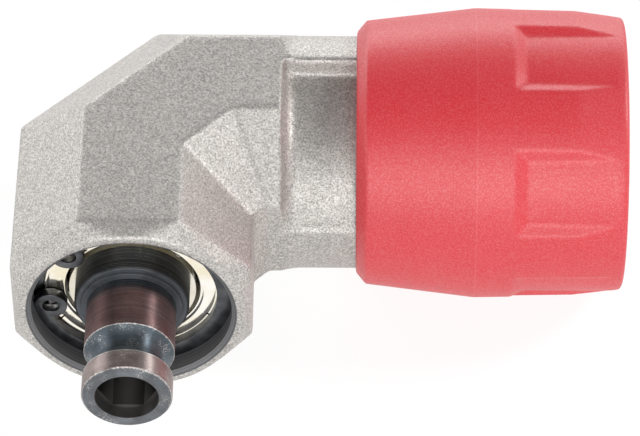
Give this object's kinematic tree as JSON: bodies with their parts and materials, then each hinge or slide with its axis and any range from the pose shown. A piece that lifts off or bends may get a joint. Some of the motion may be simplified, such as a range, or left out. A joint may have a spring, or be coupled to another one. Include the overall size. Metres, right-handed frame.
{
  "type": "right angle drill attachment",
  "caption": "Right-angle gear head with a twist-lock collar: a hex-socket spindle turns square to the drill's drive through a bevel gear pair.",
  "frame": {"origin": "centre of the coupling face, on the drive axis, where the drill's nose enters", "axes": "+X out of the coupling toward the drill; -Y along the output spindle, out of the head; +Z out of the elbow's front flat"},
  "size_m": [0.0737, 0.0573, 0.0356],
  "materials": {
    "die_cast": "shot-blasted die casting",
    "red_plastic": "fine moulded texture",
    "oxide_steel": "black oxide, brownish",
    "shield_steel": "pressed sheet, bright",
    "spring_steel": "phosphated spring steel",
    "bearing_steel": "ground and polished",
    "turned_steel": "turned",
    "gear_steel": "hardened, oiled",
    "black_steel": "black oxide",
    "shim_brass": "rolled sheet",
    "bush_bronze": "sintered bronze",
    "plated_magnet": "nickel plated",
    "cage_nylon": "moulded"
  },
  "bodies": {
    "housing": {"gear_housing": "die_cast", "output_bearing_outer_race": "bearing_steel", "output_bearing_shields": "shield_steel", "output_circlip": "spring_steel", "mesh_shim": "shim_brass", "rear_bush": "bush_bronze", "front_bearing_outer_race": "bearing_steel", "rear_bearing_outer_race": "bearing_steel", "outer_bearing_spacer": "turned_steel", "input_circlip": "spring_steel", "coupling_sleeve": "turned_steel", "coupling_screws": "black_steel", "collar_thrust_washer": "turned_steel", "collar_retaining_ring": "spring_steel", "collar_return_spring": "spring_steel"},
    "output": {"output_spindle": "oxide_steel", "output_bevel_gear": "gear_steel", "output_gear_pin": "turned_steel", "bit_magnet": "plated_magnet", "bit_retaining_ring": "spring_steel", "output_bearing_inner_race": "bearing_steel"},
    "output_ball_set": {"output_bearing_balls": "bearing_steel", "output_bearing_cage": "cage_nylon"},
    "input": {"input_shaft": "turned_steel", "input_bevel_gear": "gear_steel", "input_gear_pin": "turned_steel", "front_bearing_inner_race": "bearing_steel", "rear_bearing_inner_race": "bearing_steel", "inner_bearing_spacer": "turned_steel", "input_shaft_ring": "spring_steel"},
    "front_ball_set": {"front_bearing_balls": "bearing_steel", "front_bearing_cage": "cage_nylon"},
    "rear_ball_set": {"rear_bearing_balls": "bearing_steel", "rear_bearing_cage": "cage_nylon"},
    "collar": {"twist_collar": "red_plastic", "cam_ring": "turned_steel"},
    "lock_ball_1": {"lock_ball_1": "bearing_steel"},
    "lock_ball_2": {"lock_ball_2": "bearing_steel"},
    "lock_ball_3": {"lock_ball_3": "bearing_steel"}
  },
  "joints": [
    {"name": "output_spin", "type": "hinge", "parent": "housing", "child": "output", "pos_m": [-0.0594, 0, 0], "axis": [0, -1, 0], "continuous": true},
    {"name": "input_spin", "type": "hinge", "parent": "housing", "child": "input", "pos_m": [0, 0, 0], "axis": [1, 0, 0], "continuous": true},
    {"name": "output_cage_spin", "type": "hinge", "parent": "housing", "child": "output_ball_set", "pos_m": [-0.0594, 0, 0], "axis": [0, -1, 0], "continuous": true},
    {"name": "front_cage_spin", "type": "hinge", "parent": "housing", "child": "front_ball_set", "pos_m": [0, 0, 0], "axis": [1, 0, 0], "continuous": true},
    {"name": "rear_cage_spin", "type": "hinge", "parent": "housing", "child": "rear_ball_set", "pos_m": [0, 0, 0], "axis": [1, 0, 0], "continuous": true},
    {"name": "collar_twist", "type": "hinge", "parent": "housing", "child": "collar", "pos_m": [0, 0, 0], "axis": [1, 0, 0], "range_deg": [0, 36], "stiffness_Nm_per_rad": 0.08, "springref_deg": -28.65, "deforming": ["collar_return_spring"]},
    {"name": "lock_ball_1_slide", "type": "slide", "parent": "housing", "child": "lock_ball_1", "axis": [0, -1, 0], "range_m": [0, 0.00065]},
    {"name": "lock_ball_2_slide", "type": "slide", "parent": "housing", "child": "lock_ball_2", "axis": [0, 0.5, -0.866], "range_m": [0, 0.00065]},
    {"name": "lock_ball_3_slide", "type": "slide", "parent": "housing", "child": "lock_ball_3", "axis": [0, 0.5, 0.866], "range_m": [0, 0.00065]}
  ],
  "couplings": [
    {"joint": "input_spin", "follows": "output_spin", "ratio": -1},
    {"joint": "output_cage_spin", "follows": "output_spin", "ratio": 0.3897},
    {"joint": "front_cage_spin", "follows": "output_spin", "ratio": -0.3704},
    {"joint": "rear_cage_spin", "follows": "output_spin", "ratio": -0.3704},
    {"joint": "lock_ball_1_slide", "follows": "collar_twist", "m_per_rad": 0.0010345},
    {"joint": "lock_ball_2_slide", "follows": "collar_twist", "m_per_rad": 0.0010345},
    {"joint": "lock_ball_3_slide", "follows": "collar_twist", "m_per_rad": 0.0010345}
  ]
}
